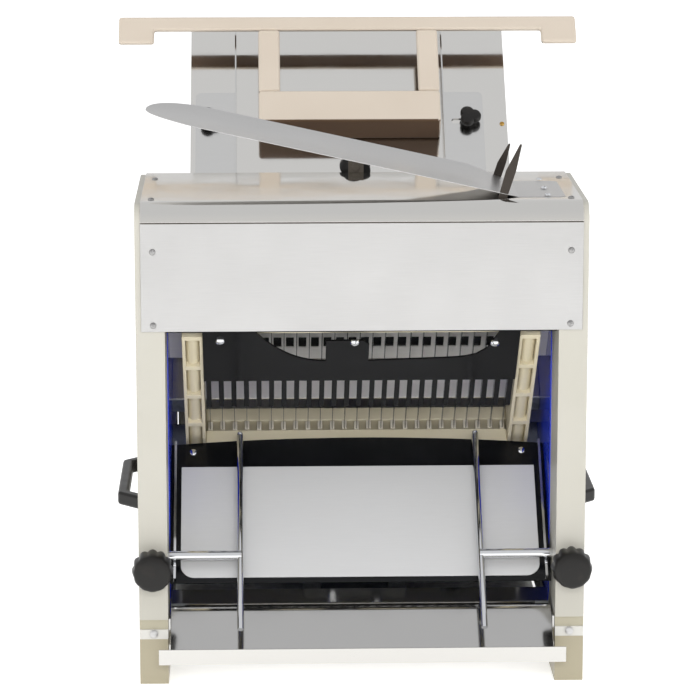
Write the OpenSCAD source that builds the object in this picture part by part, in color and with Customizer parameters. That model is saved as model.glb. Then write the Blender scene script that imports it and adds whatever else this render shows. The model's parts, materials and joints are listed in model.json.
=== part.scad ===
// Gravity-feed bench bread slicer: loaves slide down a tilted chute, pass through two
// reciprocating blade frames and come to rest on the outfeed panel at the front.
// X runs across the machine, Y from its front to its back, Z up from the bench.

/* [Body] */
// Width over the two side frames
body_w = 560; // [540:1:600]
// Depth of the side frames
body_d = 590; // [570:1:640]
// Height of the side frames, up to the deck
body_h = 612; // [600:1:640]
// Width of one side frame
post_w = 36; // [32:1:44]
// Depth of a front post
post_d = 90; // [80:1:110]
// Depth of a rear post
rear_post_d = 80; // [70:1:100]
// Height of the rear edge of a side frame
rear_top_h = 330; // [300:1:360]
// Height of the arch between the feet
arch_h = 60; // [50:1:70]
// Outer wall of a side frame
skin_t = 4; // [3:0.5:8]
// Depth of the deck
deck_d = 250; // [240:1:260]
// Radius of the nose between deck and fascia
nose_r = 22; // [16:1:30]
// Height of the fascia's lower edge
fascia_low = 454; // [448:1:462]
// Thickness of the stainless sheet
sheet_t = 2; // [1.5:0.1:3]

/* [Bread path] */
// Slope of the bread path
path_tilt = 45; // [44:0.5:46]
// Distance from the front to where the blades cross the bread path
cross_back = 215; // [212:1:220]
// Height where the blades cross the bread path
cross_h = 293; // [290:1:297]
// Width of the chute plate
chute_w = 442; // [420:1:460]
// Length of the chute plate up to its top edge
chute_top = 661; // [620:1:680]
// Length of the outfeed bed down to its lower edge
bed_low = 245; // [235:1:255]

/* [Blades] */
// Spacing of the blades, which is the slice thickness
blade_pitch = 16; // [14:0.5:16]
// Number of blades in both frames together
blade_count = 25; // [21:2:25]
// Thickness of a blade
blade_t = 0.8; // [0.5:0.1:1.2]
// Width of a blade
blade_w = 12; // [10:0.5:12]
// Stroke of each blade frame
stroke = 24; // [16:1:24]

/* [Pusher] */
// Width of the pusher's handle bar
pusher_w = 644; // [630:1:680]
// Width of the pusher's board
board_w = 252; // [220:1:256]
// Thickness of the pusher's frame
pusher_t = 8; // [6:1:12]

/* [Outfeed guides] */
// Diameter of a guide's cross rod
cross_rod_dia = 12; // [10:0.5:14]
// Diameter of a guide's hairpin
hairpin_dia = 8; // [6:0.5:9]
// Diameter of a lock knob
lock_knob_dia = 52; // [44:1:56]

/* [Drive] */
// Outside diameter of the pulley on the crank case
drive_pulley_dia = 124; // [110:1:130]
// Outside diameter of the pulley on the motor
motor_pulley_dia = 56; // [50:1:64]
// Diameter of the motor
motor_dia = 130; // [110:1:140]

/* [Hidden] */
$fn = 64;
// overrun of the cuts, running clearance, and the gap between loose faces
cut = 1;
fit = 0.05;
gap = 0.4;

// body
front_y = -body_d / 2;
half_w = body_w / 2;
inner_half = half_w - post_w;
rim = 25;
bolt_r = 4.25;
bolt_depth = 28;
bolt_inset = 40;
foot_line_h = 71;
foot_line_w = 12;
foot_line_t = 1.5;
liner_t = 1.2;
liner_half = inner_half - liner_t;
cover_margin = 7;
cover_half = half_w - cover_margin;
nose_low = body_h - nose_r;
rail_w = 16;
rail_back = 4;
rail_low = 480;
deck_rail_h = 22;
deck_rail_d = 20;
base_t = 3;
base_low = 30;
base_front = 225;
base_back = 555;
rear_panel_back = 557;
rear_panel_lead = 425;
screw_r = 4;
screw_h = 2.6;
fascia_screw_x = 258;
fascia_screw_drop = 36;
fascia_screw_rise = 8;
deck_screw_x = 260;
deck_screw_front = 31;
deck_screw_back = 195;

// path frame: Y runs up the chute, Z square to it along the blades
cross_y = front_y + cross_back;
path_rise = sin(path_tilt);
path_run = cos(path_tilt);

// blade frames
blade_half = (blade_count - 1) / 2 * blade_pitch;
beam_clear = 6;
beam_in = blade_half + beam_clear;
beam_w = 26;
beam_out = beam_in + beam_w;
beam_x = beam_in + beam_w / 2;
beam_d = 26;
beam_gap = 1;
beam_v = beam_gap + beam_d / 2;
beam_low = -42;
beam_high = 236;
rung_t = 8;
pocket_n = 4;
pocket_wall = 4;
pocket_depth = 20;
pocket_len = (beam_high - beam_low - (pocket_n + 1) * rung_t) / pocket_n;
bar_gap = 7;
bar_d = beam_gap + beam_d - bar_gap;
upper_bar_h = 22;
upper_bar_d = 10;
upper_bar_rise = 14;
lower_bar_h = 26;
upper_bar_low = beam_high + upper_bar_rise - upper_bar_h;
lower_bar_high = beam_low + lower_bar_h;
hook_w = 6;
hook_h = 12;
slide_r = 8;
bracket_t = 12;
bracket_v = 28.5;
bracket_play = 4;
bracket_high = beam_high + stroke / 2 + bracket_play;
bracket_low = beam_low - stroke / 2 - bracket_play - bracket_t;
bracket_clear = 2;
bracket_in = beam_in + bracket_clear;
push_rod_r = 7;
push_rod_x = 30;
push_rod_v = bar_gap + bar_d / 2;
push_rod_end = -180;

// comb and hold-down plate
comb_t = 2.5;
finger_w = 6.5;
finger_tip = 79;
finger_root = 140;
comb_dip = 186;
comb_block_left = 44;
comb_block_right = 10;
comb_block_high = 232;
comb_block_r = 8;
comb_lug_left = 132;
comb_lug_right = 172;
comb_bow = 2.2;
comb_arc_n = 12;
strip_h = bracket_t;
hold_t = 2;
hold_low = 104;
hold_lip_r = 10;
window_w = 10;
window_low = 127;
window_high = 150;

// chute, its guides and the pusher
chute_t = 2;
chute_low = bracket_v + hold_t + cut;
chute_ear_top = 250;
chute_roll_r = 4;
chute_mount_h = 30;
guide_t = 2;
guide_wall_h = 20;
guide_foot_w = 57;
guide_low = 340;
guide_foot_top = 538;
guide_foot_r = 8;
guide_right_x = 131;
guide_left_x = 157;
guide_knob_v = 487;
guide_stud_r = 4;
guide_slot_w = 2 * (guide_stud_r + gap);
guide_slot_in = 12;
guide_slot_out = 45;
guide_stud_in = 37;
guide_knob_r = 16;
guide_knob_h = 16;
guide_knob_lobes = 3;
board_low = 457;
board_h = 53;
arm_x = 111;
arm_w = 30;
handle_low = 618;
handle_h = 24;
handle_drop = 23;
handle_over = 8;
handle_end_in = half_w - handle_over;
pusher_rise = 36;
pusher_top = pusher_rise + pusher_t;

// outfeed
bed_t = 2;
bed_clear = 2.5;
bed_high = beam_gap + beam_d + bed_clear;
bed_half = liner_half - gap;
bed_arch = 10;
bed_arch_n = 24;
panel_t = 1.5;
panel_half = 229;
panel_top = 74;
panel_low = 238;
panel_r = 18;
rivet_v = 51;
rivet_x = 214;
rivet_r = 5;
rivet_h = 3;
ledge_w = 18;
ledge_h = 20;
ledge_top = 60;
ledge_low = 230;
pin_front_w = 20;
pin_rear_w = 6.5;
pin_bend_r = (pin_front_w - pin_rear_w) / 2;
pin_mid_w = (pin_front_w + pin_rear_w) / 2;
pin_r = hairpin_dia / 2;
pin_top = 40;
pin_front_len = 323;
pin_rear_len = 288;
pin_x = 153;
weld_in = 1.5;
cross_rod_v = 216;
cross_rod_r = cross_rod_dia / 2;
cross_rod_y = cross_y - cross_rod_v * path_run - pin_front_w * path_rise;
cross_rod_z = cross_h - cross_rod_v * path_rise + pin_front_w * path_run;
cross_rod_inset = 2;
cross_rod_end = half_w - cross_rod_inset;
post_mid = half_w - post_w / 2;
knob_stud_r = 4;
knob_len = 30;
knob_neck_r = 13;
knob_neck = 12;
knob_lobes = 12;
lobe_r = 5;

// crumb tray
tray_half = 236;
tray_lip_half = 255;
tray_lip_h = 20;
tray_low = 36;
tray_front = 36;
tray_back = 150;
tray_t = 1.5;
apron_front = 31;
apron_low = 41;
apron_len = 72;
apron_r = 30;
apron_from = 40;
apron_to = 6;
apron_tail = 45;
apron_n = 12;
runner_t = 3;
runner_ledge = 20;
runner_h = 51;
runner_front = 6;
runner_back = 180;

// drive
case_half = 70;
case_v = 45;
case_high = -110;
case_low = -235;
case_bore_end = -206;
shaft_w = -170;
shaft_r = 9;
shaft_in = 40;
shaft_out = 148;
shaft_y = cross_y - shaft_w * path_rise;
shaft_z = cross_h + shaft_w * path_run;
pedestal_w = 24;
pedestal_d = 70;
pulley_x = 120;
pulley_w = 24;
groove_w = 14;
groove_depth = 10;
belt_t = 9;
belt_w = 11;
belt_arc_n = 24;
motor_back = 480;
motor_y = front_y + motor_back;
motor_z = 130;
motor_left = -110;
motor_right = 90;
motor_shaft_r = 8;
motor_foot_w = 150;
motor_foot_d = 110;
fin_n = 24;
fin_h = 5;
fin_t = 4;
drive_r = drive_pulley_dia / 2;
small_r = motor_pulley_dia / 2;

// handles, scoop and small fittings
grip_back = 288;
grip_y = front_y + grip_back;
grip_base = 246;
grip_bar = 176;
grip_low = 182;
grip_h = 18;
grip_reach = 34;
grip_t = 14;
grip_foot = 22;
grip_in = 8;
scoop_root_x = 196;
scoop_front = 36;
scoop_root_w = 130;
scoop_tip_w = 30;
scoop_len = 475;
scoop_tilt = 12.5;
scoop_t = 1.5;
scoop_wall_h = 10;
scoop_y = front_y + scoop_front + scoop_root_w / 2;
prong_h = 68;
prong_w = 20;
prong_lean = 14;
scoop_base_w = 58;
scoop_screw_x = 232;
scoop_screws_back = [44, 100, 170];
clip_w = 20;
clip_h = 34;
clip_drop = 10;
clip_low = body_h - clip_drop;
clip_t = 3;
top_knob_r = 21;
top_knob_len = 20;
top_knob_rise = 8;
top_knob_z = body_h + top_knob_rise;
top_stud_r = 4;
switch_x = 170;
switch_z = 210;
switch_w = 34;
switch_h = 48;
switch_t = 5;
rocker_w = 20;
rocker_h = 30;
rocker_r = 26;
rocker_rise = 4;
gland_x = 170;
gland_z = 90;
gland_r = 11;
gland_len = 18;
gland_bore_r = 4.5;

// Places its children in the tilted frame of the bread path
module on_path() {
    translate([0, cross_y, cross_h])
        rotate([path_tilt, 0, 0])
            children();
}

// Box from its lowest to its highest corner
module block(low, high) {
    translate(low)
        cube(high - low);
}

// Extrudes a Y-Z outline across X, from x0 to x1
module across(x0, x1) {
    translate([x0, 0, 0])
        rotate([90, 0, 90])
            linear_extrude(x1 - x0)
                children();
}

// Mirrors its children to the chosen side, +1 for the right
module on_side(side) {
    mirror([side > 0 ? 0 : 1, 0, 0])
        children();
}

// Places its children on both sides
module both_sides() {
    for (side = [-1, 1])
        on_side(side)
            children();
}

// Cylinder along Y from y0 to y1
module rod_y(x, z, r, y0, y1) {
    translate([x, y0, z])
        rotate([-90, 0, 0])
            cylinder(r = r, h = y1 - y0);
}

// Cylinder along X from x0 to x1
module rod_x(y, z, r, x0, x1) {
    translate([x0, y, z])
        rotate([0, 90, 0])
            cylinder(r = r, h = x1 - x0);
}

// Star knob standing on Z, with scallops between its lobes
module star_knob(r, h, lobes, scallop_r) {
    difference() {
        cylinder(r = r, h = h);
        for (i = [0 : lobes - 1])
            rotate([0, 0, 360 / lobes * i])
                translate([r + scallop_r / 2, 0, -cut])
                    cylinder(r = scallop_r, h = h + 2 * cut);
    }
}

// Outline of a side frame, seen from the side
module side_outline() {
    back = front_y + body_d;
    difference() {
        polygon([
            [front_y, 0],
            [front_y + post_d, 0],
            [front_y + post_d, arch_h],
            [back - rear_post_d, arch_h],
            [back - rear_post_d, 0],
            [back, 0],
            [back, rear_top_h],
            [front_y + deck_d, body_h],
            [front_y, body_h]
        ]);
        difference() {
            translate([front_y - cut, nose_low])
                square(nose_r + cut);
            translate([front_y + nose_r, nose_low])
                circle(nose_r);
            translate([front_y + nose_r, nose_low - cut])
                square([cut, nose_r + 2 * cut]);
        }
    }
}

// Outline of the recess on the inner side of a side frame
module recess_outline() {
    back = front_y + body_d - rear_post_d;
    slope = (body_h - rear_top_h) / (body_d - deck_d);
    polygon([
        [front_y + post_d, arch_h + rim],
        [back, arch_h + rim],
        [back, rear_top_h + slope * rear_post_d - 2 * rim],
        [front_y + deck_d, body_h - 2 * rim],
        [front_y + post_d, body_h - 2 * rim]
    ]);
}

module side_frame(side) {
    color("#e4ddcd")
        on_side(side)
            difference() {
                across(inner_half, half_w)
                    side_outline();
                across(inner_half - cut, half_w - skin_t)
                    recess_outline();
                rod_x(cross_rod_y, cross_rod_z, cross_rod_r + fit, inner_half - cut, half_w + cut);
                rod_y(post_mid, cross_rod_z, knob_stud_r + fit, front_y - cut, cross_rod_y);
                for (y = [front_y + bolt_inset, front_y + body_d - bolt_inset])
                    translate([post_mid, y, -cut])
                        cylinder(r = bolt_r, h = bolt_depth + cut);
                block(
                    [inner_half - cut, front_y - cut, foot_line_h],
                    [half_w + cut, front_y + foot_line_t, foot_line_h + foot_line_w]
                );
            }
}

module liner(side) {
    color("#1c3fae")
        on_side(side)
            across(liner_half, inner_half)
                recess_outline();
}

module top_cover() {
    color("#c9cacb")
        across(-cover_half, cover_half) {
            difference() {
                translate([front_y - sheet_t, nose_low])
                    square(nose_r + sheet_t);
                translate([front_y + nose_r, nose_low])
                    circle(nose_r);
                difference() {
                    translate([front_y - sheet_t - cut, nose_low])
                        square(nose_r + sheet_t + cut);
                    translate([front_y + nose_r, nose_low])
                        circle(nose_r + sheet_t);
                }
            }
            translate([front_y + nose_r, body_h])
                square([deck_d - nose_r, sheet_t]);
        }
}

module front_fascia() {
    color("#d6d7d8")
        block(
            [-cover_half, front_y - sheet_t, fascia_low],
            [cover_half, front_y, nose_low]
        );
}

// Domed screw head standing on Z
module screw_head() {
    cylinder(r1 = screw_r, r2 = screw_r / 2, h = screw_h);
}

module cover_screws() {
    color("#b8babc")
        both_sides() {
            for (z = [fascia_low + fascia_screw_rise, nose_low - fascia_screw_drop])
                translate([fascia_screw_x, front_y - sheet_t, z])
                    rotate([90, 0, 0])
                        screw_head();
            for (back = [deck_screw_front, deck_screw_back])
                translate([deck_screw_x, front_y + back, body_h + sheet_t])
                    screw_head();
        }
}

module front_rail() {
    color("#e4ddcd")
        block(
            [-inner_half, front_y + rail_back, rail_low],
            [inner_half, front_y + rail_back + rail_w, rail_low + rail_w]
        );
}

module deck_rail() {
    color("#e4ddcd")
        block(
            [-inner_half, front_y + deck_d - deck_rail_d, body_h - deck_rail_h],
            [inner_half, front_y + deck_d, body_h]
        );
}

module base_plate() {
    color("#8f9194")
        block(
            [-inner_half, front_y + base_front, base_low],
            [inner_half, front_y + base_back, base_low + base_t]
        );
}

// Bent rear cover: upright at the back, then under the sloping edges up to the chute
module rear_outline() {
    slope = (body_h - rear_top_h) / (body_d - deck_d);
    y0 = front_y + rear_panel_back;
    bend = rear_top_h - rim;
    reach = (rear_panel_back - rear_panel_lead);
    translate([y0, base_low])
        square([sheet_t, bend - base_low]);
    polygon([
        [y0, bend],
        [y0 + sheet_t, bend],
        [y0 + sheet_t - reach, bend + slope * reach],
        [y0 - reach, bend + slope * reach]
    ]);
}

module rear_panel() {
    color("#d9d2c2")
        difference() {
            across(-inner_half + liner_t + gap, inner_half - liner_t - gap)
                rear_outline();
            rod_y(
                gland_x, gland_z, gland_r / 2 + gap,
                front_y + rear_panel_back - cut, front_y + rear_panel_back + sheet_t + cut
            );
        }
}

// D-shaped carrying handle, its two feet one above the other
// A carrying handle's plan: from the side frame's face out to the grip bar
function grip_plan(base, bar, out) = [[-cut, -base / 2], [out, -bar / 2], [out, bar / 2], [-cut, base / 2]];

module carry_handle(side) {
    color("#262322")
        on_side(side)
            translate([half_w, grip_y, grip_low])
                linear_extrude(grip_h)
                    intersection() {
                        translate([0, -grip_base])
                            square([grip_reach, 2 * grip_base]);
                        difference() {
                            polygon(grip_plan(grip_base, grip_bar, grip_reach));
                            polygon(grip_plan(
                                grip_base - 2 * grip_foot,
                                grip_bar - 2 * grip_in,
                                grip_reach - grip_t
                            ));
                        }
                    }
}

module guide_rods() {
    color("#c4c6c8")
        on_path()
            both_sides()
                for (v = [-beam_v, beam_v])
                    translate([beam_x, v, bracket_low])
                        cylinder(r = slide_r, h = bracket_high + bracket_t - bracket_low);
}

module rod_brackets() {
    color("#77797c")
        on_path()
            both_sides()
                for (w = [bracket_low, bracket_high])
                    difference() {
                        block(
                            [bracket_in, -bracket_v, w],
                            [w > 0 ? inner_half : liner_half, bracket_v, w + bracket_t]
                        );
                        for (v = [-beam_v, beam_v])
                            translate([beam_x, v, w - cut])
                                cylinder(r = slide_r + fit, h = bracket_t + 2 * cut);
                    }
}

// Height of the comb's scooped upper edge, from an outer lug (0) to the middle block (1)
function comb_edge(s) = bracket_high - (bracket_high - comb_dip) * (1 - pow(1 - s, comb_bow));

// The scooped edge as points, from the lug at x0 to the block at x1
function comb_arc(x0, x1) = [for (i = [0 : comb_arc_n])
    let (s = i / comb_arc_n)
        [x0 + (x1 - x0) * s, comb_edge(s)]];

function backwards(points) = [for (i = [len(points) - 1 : -1 : 0]) points[i]];

module comb_outline() {
    polygon(concat(
        [[-beam_in, finger_root], [beam_in, finger_root], [beam_in, bracket_high]],
        comb_arc(comb_lug_right, comb_block_right),
        [
            [comb_block_right, comb_block_high - comb_block_r],
            [comb_block_right - comb_block_r, comb_block_high],
            [-comb_block_left, comb_block_high]
        ],
        backwards(comb_arc(-comb_lug_left, -comb_block_left)),
        [[-beam_in, bracket_high]]
    ));
}

module blade_comb() {
    color("#3b3d40")
        on_path()
            translate([0, -bracket_v, 0])
                rotate([90, 0, 0])
                    linear_extrude(comb_t) {
                        comb_outline();
                        translate([-liner_half, bracket_high])
                            square([2 * liner_half, strip_h]);
                        for (i = [0 : blade_count - 1])
                            translate([i * blade_pitch - blade_half - finger_w / 2, finger_tip])
                                square([finger_w, finger_root - finger_tip]);
                    }
}

module hold_down_plate() {
    color("#d3d4d5")
        on_path() {
            difference() {
                block(
                    [-liner_half, bracket_v, hold_low],
                    [liner_half, bracket_v + hold_t, bracket_high + strip_h]
                );
                for (i = [0 : blade_count - 2])
                    translate([(i + 1 / 2) * blade_pitch - blade_half, 0, 0])
                        block(
                            [-window_w / 2, bracket_v - cut, window_low],
                            [window_w / 2, bracket_v + hold_t + cut, window_high]
                        );
            }
            across(-beam_in, beam_in)
                translate([bracket_v + hold_lip_r + hold_t, hold_low])
                    intersection() {
                        difference() {
                            circle(hold_lip_r + hold_t);
                            circle(hold_lip_r);
                        }
                        translate([-hold_lip_r - hold_t, -hold_lip_r - hold_t])
                            square(hold_lip_r + hold_t);
                    }
        }
}

// One blade frame's two beams; facing is -1 for the front frame and +1 for the rear one
module frame_beams(facing) {
    color("#e6dfcd")
        on_path()
            both_sides()
                mirror([0, facing > 0 ? 0 : 1, 0])
                    difference() {
                        block([beam_in, beam_gap, beam_low], [beam_out, beam_gap + beam_d, beam_high]);
                        translate([beam_x, beam_v, beam_low - cut])
                            cylinder(r = slide_r + fit, h = beam_high - beam_low + 2 * cut);
                        for (i = [0 : pocket_n - 1])
                            translate([
                                beam_in + pocket_wall,
                                beam_gap + beam_d - pocket_depth,
                                beam_low + rung_t + i * (pocket_len + rung_t)
                            ])
                                cube([beam_w - 2 * pocket_wall, pocket_depth + cut, pocket_len]);
                    }
}

module frame_bars(facing) {
    color("#e6dfcd")
        on_path()
            mirror([0, facing > 0 ? 0 : 1, 0]) {
                block(
                    [-beam_in, bar_gap, upper_bar_low],
                    [beam_in, bar_gap + upper_bar_d, upper_bar_low + upper_bar_h]
                );
                block([-beam_in, bar_gap, beam_low], [beam_in, bar_gap + bar_d, lower_bar_high]);
            }
}

// Places its children at every second blade; the front frame has the first and the last
module at_blades(facing) {
    first = facing > 0 ? 1 : 0;
    for (i = [first : 2 : blade_count - 1])
        translate([i * blade_pitch - blade_half, 0, 0])
            children();
}

module frame_hooks(facing) {
    color("#b9bbbd")
        on_path()
            at_blades(facing)
                mirror([0, facing > 0 ? 0 : 1, 0])
                    for (w = [lower_bar_high - hook_h, upper_bar_low])
                        block([-hook_w / 2, -blade_w / 2, w], [hook_w / 2, bar_gap, w + hook_h]);
}

module frame_blades(facing) {
    color("#a9abae")
        on_path()
            at_blades(facing)
                block(
                    [-blade_t / 2, -blade_w / 2, lower_bar_high],
                    [blade_t / 2, blade_w / 2, upper_bar_low]
                );
}

module push_rod(facing) {
    color("#c4c6c8")
        on_path()
            translate([facing * push_rod_x, facing * push_rod_v, push_rod_end])
                cylinder(r = push_rod_r, h = beam_low - push_rod_end);
}

module crank_case() {
    foot_y = shaft_y;
    color("#5d6063")
        difference() {
            union() {
                on_path()
                    block([-case_half, -case_v, case_low], [case_half, case_v, case_high]);
                both_sides()
                    block(
                        [case_half - pedestal_w, foot_y - pedestal_d / 2, base_low + base_t],
                        [case_half, foot_y + pedestal_d / 2, shaft_z]
                    );
            }
            on_path() {
                for (facing = [-1, 1])
                    translate([facing * push_rod_x, facing * push_rod_v, case_bore_end])
                        cylinder(r = push_rod_r + fit, h = case_high - case_bore_end + cut);
            }
            rod_x(shaft_y, shaft_z, shaft_r + fit, shaft_in - gap, case_half + cut);
        }
}

module drive_shaft() {
    color("#c4c6c8")
        rod_x(shaft_y, shaft_z, shaft_r, shaft_in, shaft_out);
}

// V-grooved pulley about X, its bore fitting the shaft
module pulley(r, bore_r) {
    rotate([0, 90, 0])
        rotate_extrude()
            difference() {
                translate([bore_r, 0])
                    square([r - bore_r, pulley_w]);
                polygon([
                    [r - groove_depth, (pulley_w - belt_w) / 2 - gap],
                    [r + cut, (pulley_w - groove_w) / 2 - gap],
                    [r + cut, (pulley_w + groove_w) / 2 + gap],
                    [r - groove_depth, (pulley_w + belt_w) / 2 + gap]
                ]);
            }
}

module drive_pulley() {
    color("#4b4d50")
        translate([pulley_x, shaft_y, shaft_z])
            pulley(drive_r, shaft_r + fit);
}

module motor_pulley() {
    color("#4b4d50")
        translate([pulley_x, motor_y, motor_z]) {
            pulley(small_r, motor_shaft_r);
            rotate([0, 90, 0])
                translate([0, 0, motor_right + gap - pulley_x])
                    cylinder(r = motor_shaft_r, h = pulley_x + pulley_w - motor_right - gap);
        }
}

// Outline of a loop round both pulleys, seen along X, at a height over each groove's floor
module belt_outline(over) {
    big = drive_r - groove_depth + over;
    small = small_r - groove_depth + over;
    dy = motor_y - shaft_y;
    dz = motor_z - shaft_z;
    lead = atan2(dz, dy);
    wrap = acos((big - small) / norm([dy, dz]));
    polygon(concat(
        [for (i = [0 : belt_arc_n])
            let (a = lead + wrap + (360 - 2 * wrap) * i / belt_arc_n)
                big * [cos(a), sin(a)]],
        [for (i = [0 : belt_arc_n])
            let (a = lead - wrap + 2 * wrap * i / belt_arc_n)
                [dy, dz] + small * [cos(a), sin(a)]]
    ));
}

module drive_belt() {
    low = pulley_x + (pulley_w - belt_w) / 2;
    color("#1f1f20")
        translate([0, shaft_y, shaft_z])
            across(low, low + belt_w)
                difference() {
                    belt_outline(gap + belt_t);
                    belt_outline(gap);
                }
}

module motor() {
    motor_r = motor_dia / 2;
    color("#6b7074")
        union() {
            rod_x(motor_y, motor_z, motor_r - fin_h, motor_left, motor_right);
            for (i = [0 : fin_n - 1])
                translate([motor_left + motor_r / 2, motor_y, motor_z])
                    rotate([360 / fin_n * i, 0, 0])
                        translate([0, -fin_t / 2, motor_r - 2 * fin_h])
                            cube([motor_right - motor_left - motor_r, fin_t, 2 * fin_h]);
            block(
                [-motor_foot_w / 2, motor_y - motor_foot_d / 2, base_low + base_t],
                [motor_foot_w / 2, motor_y + motor_foot_d / 2, motor_z - motor_r + 2 * fin_h]
            );
        }
}

module chute_plate() {
    color("#cfd0d1")
        on_path() {
            block([-chute_w / 2, chute_low, -chute_t], [chute_w / 2, chute_top, 0]);
            block([-liner_half + gap, chute_low, -chute_t], [liner_half - gap, chute_ear_top, 0]);
            across(-chute_w / 2, chute_w / 2)
                translate([chute_top, -chute_roll_r])
                    circle(chute_roll_r);
        }
}

module chute_mounts() {
    color("#77797c")
        on_path()
            both_sides()
                block(
                    [liner_half - ledge_w, chute_low, -chute_t - chute_mount_h],
                    [liner_half, chute_ear_top, -chute_t]
                );
}

// Loaf guide on the chute: an upright wall and a slotted foot that reaches outwards
module chute_guide(side, wall_x) {
    mid = (guide_slot_in + guide_slot_out) / 2;
    reach = guide_slot_out - guide_slot_in - guide_slot_w;
    color("#c6c8ca")
        on_path()
            on_side(side)
                translate([wall_x, 0, 0])
                    difference() {
                        union() {
                            block([0, guide_low, 0], [guide_t, chute_top - chute_roll_r, guide_wall_h]);
                            linear_extrude(guide_t)
                                difference() {
                                    translate([0, guide_low])
                                        square([guide_foot_w, guide_foot_top - guide_low]);
                                    translate([guide_foot_w - guide_foot_r, guide_foot_top - guide_foot_r])
                                        difference() {
                                            square(guide_foot_r + cut);
                                            circle(guide_foot_r);
                                        }
                                }
                        }
                        translate([mid, guide_knob_v, -cut])
                            linear_extrude(guide_t + 2 * cut) {
                                square([reach, guide_slot_w], center = true);
                                for (end = [-1, 1])
                                    translate([end * reach / 2, 0])
                                        circle(guide_slot_w / 2);
                            }
                    }
}

function knob_x(side) = side > 0 ? guide_right_x + guide_stud_in : -guide_left_x - guide_stud_in;

module chute_studs() {
    color("#b9bbbd")
        on_path()
            for (side = [-1, 1])
                translate([knob_x(side), guide_knob_v, 0])
                    cylinder(r = guide_stud_r, h = guide_t + guide_knob_h / 2);
}

module chute_knob(side) {
    color("#1d1d1e")
        on_path()
            translate([knob_x(side), guide_knob_v, guide_t + gap])
                difference() {
                    star_knob(guide_knob_r, guide_knob_h, guide_knob_lobes, guide_knob_r / 2);
                    translate([0, 0, -cut])
                        cylinder(r = guide_stud_r + fit, h = guide_knob_h / 2 + cut);
                }
}

module pusher_handle() {
    color("#e9dfd0")
        on_path() {
            block(
                [-pusher_w / 2, handle_low, pusher_rise],
                [pusher_w / 2, handle_low + handle_h, pusher_top]
            );
            both_sides()
                block(
                    [handle_end_in, handle_low - handle_drop, pusher_rise],
                    [pusher_w / 2, handle_low, pusher_top]
                );
        }
}

module pusher_arms() {
    color("#e9dfd0")
        on_path()
            both_sides()
                block(
                    [arm_x - arm_w / 2, board_low + board_h, pusher_rise],
                    [arm_x + arm_w / 2, handle_low, pusher_top]
                );
}

module pusher_board() {
    color("#e9dfd0")
        on_path()
            block([-board_w / 2, board_low, gap], [board_w / 2, board_low + board_h, pusher_top]);
}

module outfeed_bed() {
    color("#17181a")
        on_path()
            translate([0, 0, -bed_t])
                linear_extrude(bed_t)
                    polygon(concat(
                        [[-bed_half, -bed_low], [bed_half, -bed_low]],
                        [for (i = [0 : bed_arch_n])
                            let (s = 1 - 2 * i / bed_arch_n)
                                [bed_half * s, -bed_high - bed_arch * s * s]]
                    ));
}

module outfeed_panel() {
    color("#c2c4c5")
        on_path()
            linear_extrude(panel_t)
                difference() {
                    translate([-panel_half, -panel_low])
                        square([2 * panel_half, panel_low - panel_top]);
                    both_sides()
                        translate([panel_half - panel_r, -panel_low + panel_r])
                            difference() {
                                translate([0, -panel_r - cut])
                                    square(panel_r + cut);
                                circle(panel_r);
                            }
                }
}

module outfeed_rivets() {
    color("#b8babc")
        on_path()
            both_sides()
                translate([rivet_x, -rivet_v, 0])
                    cylinder(r1 = rivet_r, r2 = rivet_r / 2, h = rivet_h);
}

module bed_ledges() {
    color("#77797c")
        on_path()
            both_sides()
                block(
                    [liner_half - ledge_w, -ledge_low, -bed_t - ledge_h],
                    [liner_half, -ledge_top, -bed_t]
                );
}

// Slice guide: a hairpin over the outfeed panel, welded to its cross rod
module outfeed_guide(side) {
    color("#c9cbcd")
        on_side(side) {
            on_path() {
                for (leg = [[pin_front_w, pin_front_len], [pin_rear_w, pin_rear_len]])
                    translate([pin_x, -leg[1], leg[0]])
                        rotate([-90, 0, 0])
                            cylinder(r = pin_r, h = leg[1] - pin_top);
                translate([pin_x, -pin_top, pin_mid_w])
                    rotate([0, 90, 0])
                        rotate_extrude(angle = 180)
                            translate([pin_bend_r, 0])
                                circle(pin_r);
            }
            rod_x(cross_rod_y, cross_rod_z, cross_rod_r, pin_x - weld_in, cross_rod_end);
        }
}

module lock_knob(side) {
    stud_end = cross_rod_y - cross_rod_r - gap;
    color("#1d1d1e")
        on_side(side) {
            translate([post_mid, front_y - knob_neck, cross_rod_z])
                rotate([90, 0, 0])
                    star_knob(lock_knob_dia / 2, knob_len, knob_lobes, lobe_r);
            rod_y(post_mid, cross_rod_z, knob_neck_r, front_y - knob_neck, front_y - gap);
            rod_y(post_mid, cross_rod_z, knob_stud_r, front_y - gap, stud_end);
        }
}

module crumb_tray() {
    color("#cfd1d2") {
        block(
            [-tray_half, front_y - tray_front, tray_low],
            [tray_half, front_y + tray_back, tray_low + tray_t]
        );
        block(
            [-tray_lip_half, front_y - tray_front - tray_t, tray_low],
            [tray_lip_half, front_y - tray_front, tray_low + tray_lip_h]
        );
    }
}

// The apron over the tray, seen from the side: a ramp, a rolled bend and a tail, at a depth in the sheet
function along(a) = [cos(a), sin(a)];
function square_to(a) = [-sin(a), cos(a)];
function apron_path(depth) =
    let (
        start = [front_y - apron_front, apron_low],
        centre = start + apron_len * along(apron_from) - apron_r * square_to(apron_from),
        end = centre + (apron_r - depth) * square_to(apron_to)
    )
        concat(
            [start - depth * square_to(apron_from)],
            [for (i = [0 : apron_n])
                let (a = apron_from + (apron_to - apron_from) * i / apron_n)
                    centre + (apron_r - depth) * square_to(a)],
            [end + apron_tail * along(apron_to)]
        );

module apron_outline() {
    polygon(concat(apron_path(0), backwards(apron_path(tray_t))));
}

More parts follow.
